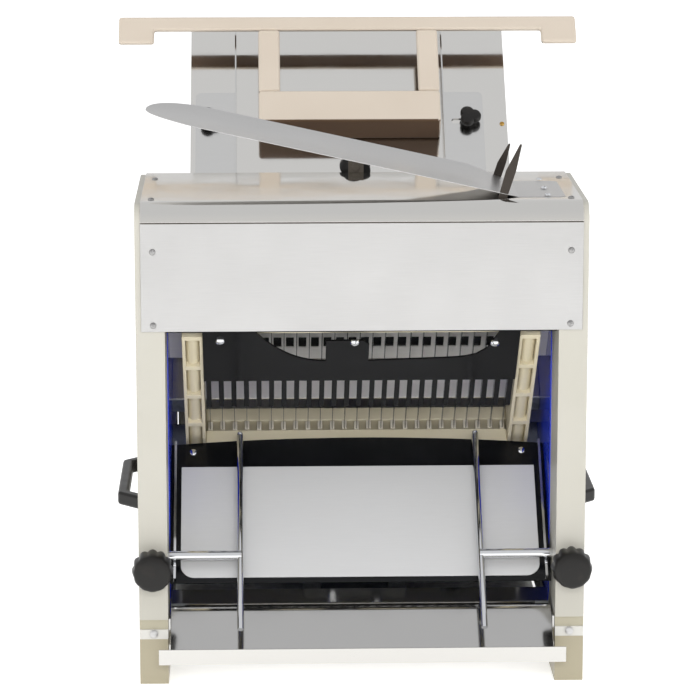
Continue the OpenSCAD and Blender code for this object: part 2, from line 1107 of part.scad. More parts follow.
module tray_runners() {
    color("#cfd1d2") {
        both_sides() {
            block(
                [inner_half - runner_t, front_y + runner_front, tray_low - gap - runner_t],
                [inner_half, front_y + runner_back, tray_low - gap - runner_t + runner_h]
            );
            block(
                [inner_half - runner_ledge, front_y + runner_front, tray_low - gap - runner_t],
                [inner_half - runner_t, front_y + tray_back, tray_low - gap]
            );
        }
        across(-inner_half + runner_t, inner_half - runner_t)
            apron_outline();
    }
}

// Plan of the scoop, root at the origin and tip towards -X; inset narrows it all round
module scoop_plan(inset) {
    tip_r = scoop_tip_w / 2;
    polygon([
        [0, -scoop_root_w / 2 + inset],
        [0, scoop_root_w / 2 - inset],
        [tip_r - scoop_len, tip_r - inset],
        [tip_r - scoop_len, inset - tip_r]
    ]);
    translate([tip_r - scoop_len, 0])
        circle(tip_r - inset);
}

module bag_scoop() {
    color("#bfc1c3") {
        translate([scoop_root_x, scoop_y, body_h + sheet_t])
            rotate([0, scoop_tilt, 0])
                difference() {
                    linear_extrude(scoop_wall_h)
                        scoop_plan(0);
                    translate([0, 0, scoop_t])
                        linear_extrude(scoop_wall_h)
                            scoop_plan(scoop_t);
                    translate([-scoop_len - cut, 0, 0])
                        rotate([90, 0, 0])
                            linear_extrude(2 * scoop_root_w, center = true)
                                polygon([
                                    [0, scoop_t],
                                    [scoop_len / 3, scoop_wall_h],
                                    [scoop_len / 3, 2 * scoop_wall_h],
                                    [0, 2 * scoop_wall_h]
                                ]);
                }
        translate([scoop_root_x, 0, 0])
            block(
                [-scoop_t, scoop_y - scoop_root_w / 2, body_h + sheet_t],
                [scoop_base_w, scoop_y + scoop_root_w / 2, body_h + sheet_t + scoop_t]
            );
        for (y = [scoop_y - scoop_root_w / 2, scoop_y + scoop_root_w / 2 - scoop_t])
            translate([scoop_root_x, y + scoop_t, body_h + sheet_t])
                rotate([90, 0, 0])
                    linear_extrude(scoop_t)
                        polygon([
                            [-prong_w, 0],
                            [0, 0],
                            [prong_lean, prong_h]
                        ]);
    }
}

module scoop_screws() {
    color("#b8babc")
        for (back = scoop_screws_back)
            translate([scoop_screw_x, front_y + back, body_h + sheet_t + scoop_t])
                screw_head();
}

module knob_clip() {
    y0 = front_y + deck_d;
    color("#aeb0b2")
        difference() {
            block([-clip_w / 2, y0, clip_low], [clip_w / 2, y0 + clip_t, clip_low + clip_h]);
            rod_y(0, top_knob_z, top_stud_r + fit, y0 - cut, y0 + clip_t + cut);
        }
}

module deck_knob() {
    y0 = front_y + deck_d;
    color("#1d1d1e") {
        translate([0, y0 + clip_t + gap + top_knob_len, top_knob_z])
            rotate([90, 0, 0])
                star_knob(top_knob_r, top_knob_len, knob_lobes, lobe_r);
        rod_y(0, top_knob_z, top_stud_r, y0, y0 + clip_t + gap);
    }
}

module switch_bezel() {
    y0 = front_y + rear_panel_back + sheet_t;
    color("#202122")
        difference() {
            block(
                [switch_x - switch_w / 2, y0, switch_z - switch_h / 2],
                [switch_x + switch_w / 2, y0 + switch_t, switch_z + switch_h / 2]
            );
            block(
                [switch_x - rocker_w / 2 - gap, y0 + cut, switch_z - rocker_h / 2 - cut],
                [switch_x + rocker_w / 2 + gap, y0 + switch_t + cut, switch_z + rocker_h / 2 + cut]
            );
        }
}

module switch_rocker() {
    y0 = front_y + rear_panel_back + sheet_t + cut + gap;
    color("#2e8b3c")
        intersection() {
            rod_x(
                y0 - rocker_r + switch_t + rocker_rise, switch_z, rocker_r,
                switch_x - rocker_w / 2, switch_x + rocker_w / 2
            );
            block(
                [switch_x - rocker_w / 2, y0 + rocker_rise / 2, switch_z - rocker_h / 2],
                [switch_x + rocker_w / 2, y0 + rocker_r, switch_z + rocker_h / 2]
            );
        }
}

module cable_gland() {
    y0 = front_y + rear_panel_back + sheet_t;
    color("#202122")
        difference() {
            union() {
                rod_y(gland_x, gland_z, gland_r, y0, y0 + gland_len / 2);
                rod_y(gland_x, gland_z, gland_r * 3 / 4, y0, y0 + gland_len);
            }
            rod_y(gland_x, gland_z, gland_bore_r, y0 - cut, y0 + gland_len + cut);
        }
}

side_frame(-1);  // side_frame_left
side_frame(1);  // side_frame_right
liner(-1);  // liner_left
liner(1);  // liner_right
top_cover();
front_fascia();
cover_screws();
front_rail();
deck_rail();
base_plate();
rear_panel();
carry_handle(-1);  // carry_handle_left
carry_handle(1);  // carry_handle_right
guide_rods();
rod_brackets();
blade_comb();
hold_down_plate();
frame_beams(-1);  // front_frame_beams
frame_bars(-1);  // front_frame_bars
frame_hooks(-1);  // front_hooks
frame_blades(-1);  // front_blades
push_rod(-1);  // front_push_rod
frame_beams(1);  // rear_frame_beams
frame_bars(1);  // rear_frame_bars
frame_hooks(1);  // rear_hooks
frame_blades(1);  // rear_blades
push_rod(1);  // rear_push_rod
crank_case();
drive_shaft();
drive_pulley();
drive_belt();
motor();
motor_pulley();
chute_plate();
chute_mounts();
chute_guide(-1, guide_left_x);  // chute_guide_left
chute_guide(1, guide_right_x);  // chute_guide_right
chute_studs();
chute_knob(-1);  // chute_knob_left
chute_knob(1);  // chute_knob_right
pusher_handle();
pusher_arms();
pusher_board();
outfeed_bed();
outfeed_panel();
outfeed_rivets();
bed_ledges();
outfeed_guide(-1);  // outfeed_guide_left
outfeed_guide(1);  // outfeed_guide_right
lock_knob(-1);  // lock_knob_left
lock_knob(1);  // lock_knob_right
crumb_tray();
tray_runners();
bag_scoop();
scoop_screws();
knob_clip();
deck_knob();
switch_bezel();
switch_rocker();
cable_gland();
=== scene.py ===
import json
import math

import bmesh
import bpy
from mathutils import Matrix, Vector


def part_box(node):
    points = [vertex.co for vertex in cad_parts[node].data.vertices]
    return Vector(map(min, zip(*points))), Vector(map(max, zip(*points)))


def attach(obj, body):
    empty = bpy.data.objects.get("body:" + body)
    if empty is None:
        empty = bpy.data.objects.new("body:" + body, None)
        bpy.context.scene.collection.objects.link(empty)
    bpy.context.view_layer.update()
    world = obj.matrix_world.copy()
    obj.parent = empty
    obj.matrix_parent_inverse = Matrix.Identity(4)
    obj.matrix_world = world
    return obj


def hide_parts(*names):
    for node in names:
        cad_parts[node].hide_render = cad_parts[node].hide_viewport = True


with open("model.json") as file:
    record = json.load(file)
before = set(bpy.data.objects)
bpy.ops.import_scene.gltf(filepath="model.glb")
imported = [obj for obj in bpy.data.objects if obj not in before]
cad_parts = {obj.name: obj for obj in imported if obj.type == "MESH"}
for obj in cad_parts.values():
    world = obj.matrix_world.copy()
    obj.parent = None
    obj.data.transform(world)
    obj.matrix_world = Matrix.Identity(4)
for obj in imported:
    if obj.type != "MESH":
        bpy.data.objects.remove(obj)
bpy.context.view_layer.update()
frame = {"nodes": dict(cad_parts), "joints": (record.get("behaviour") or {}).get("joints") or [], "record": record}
nodes = frame["nodes"]
bodyOf = {n: body for body, members in frame["record"]["behaviour"]["bodies"].items() for n in members}
scene = bpy.context.scene
print("frame loaded:", len(nodes), "CAD nodes")


def hexToLinear(text):
    parts = [int(text[i:i + 2], 16) / 255 for i in (1, 3, 5)]
    return [c / 12.92 if c <= 0.04045 else ((c + 0.055) / 1.055) ** 2.4 for c in parts] + [1.0]


def perMm(size):
    return 1000 / size  # texture scale for a feature of this many millimetres, in object metres


def addNode(tree, kind, inputs=None, **settings):
    node = tree.nodes.new(kind)
    for name, value in settings.items():
        setattr(node, name, value)
    for name, value in (inputs or {}).items():
        if isinstance(value, bpy.types.NodeSocket):
            tree.links.new(value, node.inputs[name])
        else:
            node.inputs[name].default_value = value
    return node


def newMaterial(name):
    material = bpy.data.materials.new(name)
    material.use_nodes = True
    tree = material.node_tree
    place = addNode(tree, "ShaderNodeTexCoord").outputs["Object"]
    return material, tree, tree.nodes["Principled BSDF"], place


# camera at the photographed angle: a long lens, a little above the deck
cameraView = {
    "lens": 163.87,
    "sensorWidth": 36,
    "farClip": 50,
    "place": (-0.1285, -4.1551, 1.2393),
    "pitchDown": 11.842,
    "turnRight": 1.683,
}


def makeCamera(view):
    data = bpy.data.cameras.new("photoCamera")
    data.lens = view["lens"]
    data.sensor_width = view["sensorWidth"]
    data.clip_end = view["farClip"]
    camera = bpy.data.objects.new("photoCamera", data)
    scene.collection.objects.link(camera)
    camera.location = view["place"]
    camera.rotation_euler = (math.radians(90 - view["pitchDown"]), 0, math.radians(-view["turnRight"]))
    scene.camera = camera


makeCamera(cameraView)
print("camera made")


# soft studio: a white sweep in a light room, with boxes above, at both sides and in front
# a box that isn't mirrored lights the sheet without burning a white band into it
studio = {
    "floorSize": 60.0,
    "floor": "#fbfbfa",
    "floorRoughness": 0.9,
    "floorGlow": 0.55,
    "horizon": "#ffffff",
    "zenith": "#f6f7f9",
    "zenithFrom": 0.75,
    "roomStrength": 0.8,
    "boxes": (
        {"name": "topBox", "place": (0.0, -2.6, 3.0), "aim": (0, 0, 0.4), "size": (3.2, 1.6),
         "power": 18, "mirrored": False},
        {"name": "leftBox", "place": (-3.0, -2.2, 1.6), "aim": (0, 0, 0.4), "size": (1.6, 2.6),
         "power": 10, "mirrored": True},
        {"name": "rightBox", "place": (3.0, -2.0, 1.5), "aim": (0, 0, 0.4), "size": (1.4, 2.4),
         "power": 8, "mirrored": True},
        {"name": "frontBox", "place": (0.0, -4.2, 1.75), "aim": (0, 0, 0.35), "size": (1.6, 0.8),
         "power": 68, "mirrored": False},
    ),
}


def makeStudio(look):
    half = look["floorSize"] / 2
    mesh = bpy.data.meshes.new("sweepFloor")
    mesh.from_pydata([(-half, -half, 0), (half, -half, 0), (half, half, 0), (-half, half, 0)], [], [(0, 1, 2, 3)])
    floor = bpy.data.objects.new("sweepFloor", mesh)
    scene.collection.objects.link(floor)
    material, _, shader, _ = newMaterial("paperSweep")
    shader.inputs["Base Color"].default_value = hexToLinear(look["floor"])
    shader.inputs["Roughness"].default_value = look["floorRoughness"]
    shader.inputs["Emission Color"].default_value = hexToLinear(look["floor"])
    shader.inputs["Emission Strength"].default_value = look["floorGlow"]
    mesh.materials.append(material)

    world = bpy.data.worlds.new("studioRoom")
    scene.world = world
    world.use_nodes = True
    tree = world.node_tree
    direction = addNode(tree, "ShaderNodeTexCoord").outputs["Generated"]
    height = addNode(tree, "ShaderNodeSeparateXYZ", {0: direction}).outputs["Z"]
    ramp = addNode(tree, "ShaderNodeValToRGB", {0: height})
    horizon, zenith = ramp.color_ramp.elements
    horizon.color = hexToLinear(look["horizon"])
    zenith.color = hexToLinear(look["zenith"])
    zenith.position = look["zenithFrom"]
    background = tree.nodes["Background"]
    background.inputs["Strength"].default_value = look["roomStrength"]
    tree.links.new(ramp.outputs["Color"], background.inputs["Color"])

    for box in look["boxes"]:
        data = bpy.data.lights.new(box["name"], "AREA")
        data.shape = "RECTANGLE"
        data.size, data.size_y = box["size"]
        data.energy = box["power"]
        lamp = bpy.data.objects.new(box["name"], data)
        scene.collection.objects.link(lamp)
        lamp.visible_glossy = box["mirrored"]
        lamp.location = box["place"]
        lamp.rotation_euler = (Vector(box["aim"]) - Vector(box["place"])).to_track_quat("-Z", "Y").to_euler()
    scene.view_settings.view_transform = "Standard"


makeStudio(studio)
print("studio lit")


# stoving enamel on folded steel: semi-gloss, faint orange peel about 2 mm across
enamelLook = {"colour": "#b4b1a8", "shade": "#adaa9f", "cloudMm": 90, "roughness": 0.34, "shinier": 0.05,
              "duller": 0.08, "peelMm": 2.2, "peelHighMm": 0.4, "peel": 0.05}
castingLook = {**enamelLook, "colour": "#d9d0b8", "shade": "#c9bfa2", "peelMm": 1.4}  # brushed over a sand-cast skin
boardLook = {**enamelLook, "colour": "#cfc3b4", "shade": "#c7baaa", "roughness": 0.4}  # lacquer, a little flatter
shadeBrownLook = {**enamelLook, "colour": "#5f4833", "shade": "#513c2a", "roughness": 0.5}  # painted shade: dark brown for the pusher's shaded faces
filmLook = {**enamelLook, "colour": "#1a3bd6", "shade": "#1230b4", "roughness": 0.16}  # plastic film, deep and glossy
switchLook = {**enamelLook, "colour": "#1f9a3a", "shade": "#188431", "roughness": 0.22}  # moulded rocker, clear green
# the feet turn darker towards the bottom; the pressed band shows as a darker stripe, painted shade under its ledge,
# over a paler stripe
footLook = {"soil": "#9d957f", "fromMm": 84, "toMm": 68, "stripes": (("#a39d89", 71.2, 84), ("#c4c2bc", 58.8, 71.2))}


def makeEnamel(name, look):
    material, tree, shader, place = newMaterial(name)
    cloud = addNode(tree, "ShaderNodeTexNoise", {"Vector": place, "Scale": perMm(look["cloudMm"]), "Detail": 4})
    colour = addNode(tree, "ShaderNodeMix", {0: cloud.outputs["Fac"], 6: hexToLinear(look["colour"]),
                                             7: hexToLinear(look["shade"])}, data_type="RGBA").outputs[2]
    rough = addNode(tree, "ShaderNodeMapRange", {"Value": cloud.outputs["Fac"], 3: look["roughness"] - look["shinier"],
                                                 4: look["roughness"] + look["duller"]})
    peel = addNode(tree, "ShaderNodeTexNoise", {"Vector": place, "Scale": perMm(look["peelMm"]), "Detail": 2})
    bump = addNode(tree, "ShaderNodeBump", {"Height": peel.outputs["Fac"], "Strength": look["peel"],
                                            "Distance": look["peelHighMm"] / 1000})
    # darker towards the bottom, then the stripes laid over it: the upper one is painted shade under the band's ledge
    if "soil" in look:
        height = addNode(tree, "ShaderNodeSeparateXYZ", {0: place}).outputs["Z"]
        low = addNode(tree, "ShaderNodeMapRange", {"Value": height, 1: look["toMm"] / 1000, 2: look["fromMm"] / 1000,
                                                   3: 1, 4: 0})
        colour = addNode(tree, "ShaderNodeMix", {0: low.outputs[0], 6: colour, 7: hexToLinear(look["soil"])},
                         data_type="RGBA").outputs[2]
        for stripe, start, end in look["stripes"]:
            inside = addNode(tree, "ShaderNodeMath", {0: height, 1: (start + end) / 2000, 2: (end - start) / 2000},
                             operation="COMPARE")
            colour = addNode(tree, "ShaderNodeMix", {0: inside.outputs[0], 6: colour, 7: hexToLinear(stripe)},
                             data_type="RGBA").outputs[2]
    tree.links.new(colour, shader.inputs["Base Color"])
    tree.links.new(rough.outputs[0], shader.inputs["Roughness"])
    tree.links.new(bump.outputs[0], shader.inputs["Normal"])
    return material


# belt-ground stainless sheet: fine lines along X that draw its highlights out
# the real lines are about 0.1 mm apart, too fine to show, so they are drawn at 0.6 mm
satinLook = {"colour": "#cdcccb", "dull": "#bcbbba", "metallic": 1.0, "roughness": 0.34, "shinier": 0.06,
             "duller": 0.08, "lineMm": 0.6, "stretch": 60, "lineDepth": 0.10, "lineHighMm": 0.2, "stainMm": 70}
fasciaLook = {**satinLook, "colour": "#bfbebd", "dull": "#b3b2b1"}
guideLook = {**satinLook, "colour": "#dedddb", "dull": "#d6d5d3", "roughness": 0.16, "lineDepth": 0.02}  # buffed
headLook = {**satinLook, "colour": "#a9a8a7", "dull": "#9b9a99", "roughness": 0.3}  # turned heads, dulled by handling
bladeLook = {**satinLook, "colour": "#9a9c9f", "dull": "#7d8084", "roughness": 0.24}  # hardened strip, a cold grey
clipLook = {**satinLook, "colour": "#6f6961", "dull": "#5d5750", "roughness": 0.4}  # spring steel, brownish and dull
prongShadeLook = {**satinLook, "colour": "#57514c", "dull": "#45403c", "roughness": 0.3}  # painted shade and dark reflection on edges turned from the light
# sheet with a washed-out bloom scatters light like pale paint, so it is only partly metallic
panelLook = {**satinLook, "colour": "#d0d0d0", "dull": "#c8c8c8", "metallic": 0.25, "roughness": 0.5, "lineDepth": 0.04}
plateLook = {**satinLook, "colour": "#f2efeb", "dull": "#e6e3df", "metallic": 0.2, "roughness": 0.3}
hookLook = {**plateLook, "colour": "#e4ddcd", "dull": "#d6cfbf"}  # dull zinc, a little yellow


def makeBrushedSteel(name, look):
    material, tree, shader, place = newMaterial(name)
    squeeze = addNode(tree, "ShaderNodeMapping", {"Vector": place, "Scale": (1 / look["stretch"], 1, 1)})
    lines = addNode(tree, "ShaderNodeTexNoise", {"Vector": squeeze.outputs[0], "Scale": perMm(look["lineMm"]),
                                                 "Detail": 3})
    stain = addNode(tree, "ShaderNodeTexNoise", {"Vector": place, "Scale": perMm(look["stainMm"]), "Detail": 5})
    tone = addNode(tree, "ShaderNodeMix", {0: lines.outputs["Fac"], 6: hexToLinear(look["colour"]),
                                           7: hexToLinear(look["dull"])}, data_type="RGBA")
    rough = addNode(tree, "ShaderNodeMapRange", {"Value": stain.outputs["Fac"], 3: look["roughness"] - look["shinier"],
                                                 4: look["roughness"] + look["duller"]})
    bump = addNode(tree, "ShaderNodeBump", {"Height": lines.outputs["Fac"], "Strength": look["lineDepth"],
                                            "Distance": look["lineHighMm"] / 1000})
    shader.inputs["Metallic"].default_value = look["metallic"]
    tree.links.new(tone.outputs[2], shader.inputs["Base Color"])
    tree.links.new(rough.outputs[0], shader.inputs["Roughness"])
    tree.links.new(bump.outputs[0], shader.inputs["Normal"])
    return material


# polished stainless or plated steel: a near mirror with faint wipe marks and a slow ripple
polishedLook = {"colour": "#e2e0dc", "roughness": 0.07, "smearMm": 45, "smearFrom": 0.35, "smearTo": 0.75,
                "duller": 0.07, "wave": 0.25, "waveMm": 120, "waveHighMm": 2}
chromeLook = {**polishedLook, "colour": "#e0e1e3", "roughness": 0.05, "smearMm": 30, "wave": 0.06}
trayLook = {**polishedLook, "colour": "#cfcdc9", "roughness": 0.1, "smearMm": 60, "wave": 0.15}
apronLook = {**polishedLook, "colour": "#c3c2c0", "roughness": 0.08, "smearMm": 60}
yellowZincLook = {**chromeLook, "colour": "#c9a45c", "roughness": 0.2}  # passivated, a soft brassy yellow
# the thin deck sheet gives a little towards the nose, so that it mirrors the pusher's bar
deckLook = {**polishedLook, "colour": "#dcdad6", "roughness": 0.06, "wave": 0.3, "fall": 0.095, "sag": 0.139}


def makePolishedSteel(name, look):
    material, tree, shader, place = newMaterial(name)
    smear = addNode(tree, "ShaderNodeTexNoise", {"Vector": place, "Scale": perMm(look["smearMm"]), "Detail": 6,
                                                 "Roughness": 0.65})
    rough = addNode(tree, "ShaderNodeMapRange", {"Value": smear.outputs["Fac"], 1: look["smearFrom"],
                                                 2: look["smearTo"], 3: look["roughness"],
                                                 4: look["roughness"] + look["duller"]})
    wave = addNode(tree, "ShaderNodeTexNoise", {"Vector": place, "Scale": perMm(look["waveMm"]), "Detail": 1})
    height, waveHigh = wave.outputs["Fac"], look["waveHighMm"] / 1000
    if "fall" in look:
        depth = addNode(tree, "ShaderNodeSeparateXYZ", {0: place}).outputs["Y"]
        slope = addNode(tree, "ShaderNodeMath", {0: depth, 1: look["sag"], 2: look["fall"]}, operation="MULTIPLY_ADD")
        rise = addNode(tree, "ShaderNodeMath", {0: depth, 1: slope.outputs[0]}, operation="MULTIPLY")
        height = addNode(tree, "ShaderNodeMath", {0: rise.outputs[0], 1: 1 / (look["wave"] * waveHigh), 2: height},
                         operation="MULTIPLY_ADD").outputs[0]
    bump = addNode(tree, "ShaderNodeBump", {"Height": height, "Strength": look["wave"], "Distance": waveHigh})
    shader.inputs["Metallic"].default_value = 1
    shader.inputs["Base Color"].default_value = hexToLinear(look["colour"])
    tree.links.new(rough.outputs[0], shader.inputs["Roughness"])
    tree.links.new(bump.outputs[0], shader.inputs["Normal"])
    return material


# moulded phenolic and stoved black: near black with a fine grain, a soft sheen and paler worn patches
phenolicLook = {"colour": "#110f0d", "worn": "#2a2520", "wearMm": 22, "wearFrom": 0.5, "wearTo": 0.8, "wearMost": 0.6,
                "roughness": 0.36, "shinier": 0.06, "duller": 0.1, "sheen": 0.35,
                "grainMm": 0.9, "grain": 0.06, "grainHighMm": 0.3}
rubberLook = {**phenolicLook, "roughness": 0.7, "grainMm": 1.6}
blackEnamelLook = {**phenolicLook, "colour": "#0a0b0d", "worn": "#16171a", "roughness": 0.18, "grainMm": 3.0,
                   "sheen": 0.25}
combLook = {**blackEnamelLook, "colour": "#070708", "worn": "#121214", "roughness": 0.12, "sheen": 0.14}


def makeDarkMoulding(name, look):
    material, tree, shader, place = newMaterial(name)
    grain = addNode(tree, "ShaderNodeTexNoise", {"Vector": place, "Scale": perMm(look["grainMm"]), "Detail": 3})
    wear = addNode(tree, "ShaderNodeTexNoise", {"Vector": place, "Scale": perMm(look["wearMm"]), "Detail": 6})
    fade = addNode(tree, "ShaderNodeMapRange", {"Value": wear.outputs["Fac"], 1: look["wearFrom"], 2: look["wearTo"],
                                                3: 0, 4: look["wearMost"]})
    tone = addNode(tree, "ShaderNodeMix", {0: fade.outputs[0], 6: hexToLinear(look["colour"]),
                                           7: hexToLinear(look["worn"])}, data_type="RGBA")
    rough = addNode(tree, "ShaderNodeMapRange", {"Value": wear.outputs["Fac"], 3: look["roughness"] - look["shinier"],
                                                 4: look["roughness"] + look["duller"]})
    bump = addNode(tree, "ShaderNodeBump", {"Height": grain.outputs["Fac"], "Strength": look["grain"],
                                            "Distance": look["grainHighMm"] / 1000})
    shader.inputs["Specular IOR Level"].default_value = look["sheen"]
    tree.links.new(tone.outputs[2], shader.inputs["Base Color"])
    tree.links.new(rough.outputs[0], shader.inputs["Roughness"])
    tree.links.new(bump.outputs[0], shader.inputs["Normal"])
    return material


# hammer paint, painted cast iron and spangled zinc: cells a few millimetres wide, each a shade lighter or darker
hammerLook = {"colour": "#565b60", "light": "#71777d", "metallic": 0.0, "roughness": 0.34, "cellMm": 3.5,
              "depth": 0.25, "cellHighMm": 0.5}
castLook = {**hammerLook, "colour": "#45484b", "light": "#54585b", "roughness": 0.5, "cellMm": 2.0, "depth": 0.35}
zincLook = {**hammerLook, "colour": "#a9adb2", "light": "#c0c4c8", "metallic": 1.0, "roughness": 0.38, "cellMm": 9.0,
            "depth": 0.03}


def makeCellFinish(name, look):
    material, tree, shader, place = newMaterial(name)
    cells = addNode(tree, "ShaderNodeTexVoronoi", {"Vector": place, "Scale": perMm(look["cellMm"])})
    shade = addNode(tree, "ShaderNodeSeparateColor", {0: cells.outputs["Color"]})
    tone = addNode(tree, "ShaderNodeMix", {0: shade.outputs[0], 6: hexToLinear(look["colour"]),
                                           7: hexToLinear(look["light"])}, data_type="RGBA")
    bump = addNode(tree, "ShaderNodeBump", {"Height": cells.outputs["Distance"], "Strength": look["depth"],
                                            "Distance": look["cellHighMm"] / 1000})
    shader.inputs["Metallic"].default_value = look["metallic"]
    shader.inputs["Roughness"].default_value = look["roughness"]
    tree.links.new(tone.outputs[2], shader.inputs["Base Color"])
    tree.links.new(bump.outputs[0], shader.inputs["Normal"])
    return material


# one finish for each material slot of the record, then the pieces whose sheet was worked differently
finishes = {
    "cream_enamel": makeEnamel("stovedCreamEnamel", enamelLook),
    "cream_casting": makeEnamel("paintedCreamCasting", castingLook),
    "cream_board": makeEnamel("lacqueredCreamBoard", boardLook),
    "blue_film": makeEnamel("cobaltBlueFilm", filmLook),
    "satin_stainless": makeBrushedSteel("groundStainlessSheet", satinLook),
    "blade_steel": makeBrushedSteel("groundBladeSteel", bladeLook),
    "polished_stainless": makePolishedSteel("polishedStainlessSheet", polishedLook),
    "bright_steel": makePolishedSteel("platedBrightSteel", chromeLook),
    "dark_steel": makeDarkMoulding("glossBlackEnamel", blackEnamelLook),
    "black_plastic": makeDarkMoulding("mouldedBlackPhenolic", phenolicLook),
    "belt_rubber": makeDarkMoulding("wrappedBeltRubber", rubberLook),
    "grey_iron": makeCellFinish("paintedGreyIron", castLook),
    "motor_paint": makeCellFinish("hammeredMotorPaint", hammerLook),
    "galvanised": makeCellFinish("spangledZincSheet", zincLook),
    "green_switch": makeEnamel("mouldedGreenSwitch", switchLook),
}
slotOf = {s["node"]: s["material_slot"] for s in frame["record"]["subparts"]}
finishOf = {node: finishes[slot] for node, slot in slotOf.items()}
# the side frames' enamel is darker towards the bottom of the feet and carries a stripe of painted shade at the band
finishOf["side_frame_left"] = finishOf["side_frame_right"] = makeEnamel("stovedCreamFrame", {**enamelLook, **footLook})
finishOf["front_fascia"] = makeBrushedSteel("groundStainlessFascia", fasciaLook)
finishOf["top_cover"] = makePolishedSteel("polishedDeckSheet", deckLook)
finishOf["cover_screws"] = makeBrushedSteel("dulledScrewSteel", headLook)
finishOf["front_hooks"] = finishOf["rear_hooks"] = makeBrushedSteel("dullZincHook", hookLook)
finishOf["crumb_tray"] = makePolishedSteel("buffedTraySheet", trayLook)
finishOf["tray_runners"] = makePolishedSteel("polishedApronSheet", apronLook)
finishOf["outfeed_panel"] = makeBrushedSteel("bloomedStainlessPanel", panelLook)
finishOf["chute_guide_left"] = finishOf["chute_guide_right"] = makeBrushedSteel("buffedGuideSheet", guideLook)
finishOf["hold_down_plate"] = makeBrushedSteel("bloomedStainlessPlate", plateLook)
finishOf["blade_comb"] = makeDarkMoulding("blackenedCombSteel", combLook)
finishOf["knob_clip"] = makeBrushedSteel("dulledClipSteel", clipLook)
paintedShadeSteel = makeBrushedSteel("darkProngSteel", prongShadeLook)
paintedShadeBrown = makeEnamel("bareBrownBoardBack", shadeBrownLook)
zincYellow = makePolishedSteel("yellowZincPlate", yellowZincLook)
print("finishes made:", len(finishes))


# how far each piece's edges are rounded, in millimetres; pieces not named keep the sheet's own small break
edgeBreak = {
    "usual": 0.5,
    "side_frame_left": 2.2, "side_frame_right": 2.2,
    "carry_handle_left": 4.0, "carry_handle_right": 4.0,
    "pusher_handle": 5.0, "pusher_arms": 4.0, "pusher_board": 4.0,
    "front_frame_beams": 1.2, "rear_frame_beams": 1.2,
    "front_frame_bars": 2.0, "rear_frame_bars": 2.0,
    "crank_case": 5.0, "motor": 1.0, "rod_brackets": 1.0,
    "liner_left": 0.0, "liner_right": 0.0, "drive_belt": 1.0,
    "front_hooks": 0.6, "rear_hooks": 0.6,
}
edgeAngles = {"flat": 0.6, "sharp": 32}  # degrees: facets are merged below the first, edges rounded above the second
weld = 0.02 / 1000  # points closer than this are one
facing = -0.5  # a face whose normal points this far against a direction looks away from it

# the bread path slopes at 45 degrees: places on it are x, up the path and across it, from where the blades cross it
pathUp = Vector((0, math.sqrt(0.5), math.sqrt(0.5)))
acrossPath = Vector((0, -math.sqrt(0.5), math.sqrt(0.5)))
pathOrigin = Vector((0, -0.080, 0.293))

# painted shade: the pusher is painted dark brown where it faces the chute and, on the board, down the path; the deck's
# underside keeps its mill finish
otherFaces = {
    "pusher_handle": ((acrossPath,), paintedShadeBrown),
    "pusher_arms": ((acrossPath,), paintedShadeBrown),
    "pusher_board": ((acrossPath, pathUp), paintedShadeBrown),
    "top_cover": ((Vector((0, 0, 1)),), finishOf["hold_down_plate"]),
}
made = []  # nodes that a finer piece stands for


# the comb's upper edge runs level on the right and only turns up beside its lug, in millimetres on the path
combEdge = {"block": 10, "lug": 172, "dip": 186, "top": 252, "slope": 9, "bow": 12,
            "besideX": 0.5, "above": 0.2, "below": 0.5}


def easeComb(work, look):
    for vert in work.verts:
        x, w = vert.co.x * 1000, (vert.co - pathOrigin).dot(acrossPath) * 1000
        inSpan = look["block"] + look["besideX"] < x < look["lug"] + look["besideX"]
        if inSpan and look["dip"] + look["above"] < w < look["top"] - look["below"]:
            share = (x - look["block"]) / (look["lug"] - look["block"])
            bow = (look["top"] - look["dip"] - look["slope"]) * share ** look["bow"]
            level = look["dip"] + look["slope"] * share + bow
            vert.co += acrossPath * ((level - w) / 1000)


def shadeSmooth(work, sharpAngle):
    for face in work.faces:
        face.smooth = True
    for edge in work.edges:
        edge.smooth = not (edge.is_manifold and edge.calc_face_angle(0) > math.radians(sharpAngle))


def softenEdges(name, width):
    mesh = nodes[name].data.copy()
    mesh.name = name + "Rounded"
    work = bmesh.new()
    work.from_mesh(mesh)
    bmesh.ops.remove_doubles(work, verts=work.verts, dist=weld)
    if name == "blade_comb":
        easeComb(work, combEdge)
    bmesh.ops.dissolve_limit(work, angle_limit=math.radians(edgeAngles["flat"]), verts=work.verts, edges=work.edges)
    shadeSmooth(work, edgeAngles["sharp"])
    ways, otherFinish = otherFaces.get(name, ((), None))
    for face in work.faces:
        face.material_index = int(any(face.normal.dot(way) < facing for way in ways))
    mesh.materials.clear()
    mesh.materials.append(finishOf[name])
    if otherFinish:
        mesh.materials.append(otherFinish)
    work.to_mesh(mesh)
    work.free()
    piece = bpy.data.objects.new(name + "_rounded", mesh)
    scene.collection.objects.link(piece)
    bevel = piece.modifiers.new("edgeBreak", "BEVEL")
    bevel.width = width / 1000
    bevel.segments = 3 if width >= 1 else 2
    bevel.limit_method = "ANGLE"
    bevel.angle_limit = math.radians(edgeAngles["sharp"])
    bevel.harden_normals = True
    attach(piece, bodyOf[name])
    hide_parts(name)
    made.append(name)


def addPiece(name, work, body, material, sharpAngle):
    shadeSmooth(work, sharpAngle)
    mesh = bpy.data.meshes.new(name)
    work.to_mesh(mesh)
    work.free()
    mesh.materials.append(material)
    piece = bpy.data.objects.new(name, mesh)
    scene.collection.objects.link(piece)
    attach(piece, body)
    return piece


def joinLoops(work, loops):
    for a, b in zip(loops, loops[1:]):
        for i in range(len(a)):
            k = (i + 1) % len(a)
            work.faces.new((a[i], a[k], b[k], b[i]))


def standIn(name, work, ending, sharpAngle):
    piece = addPiece(name + ending, work, bodyOf[name], finishOf[name], sharpAngle)
    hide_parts(name)
    made.append(name)


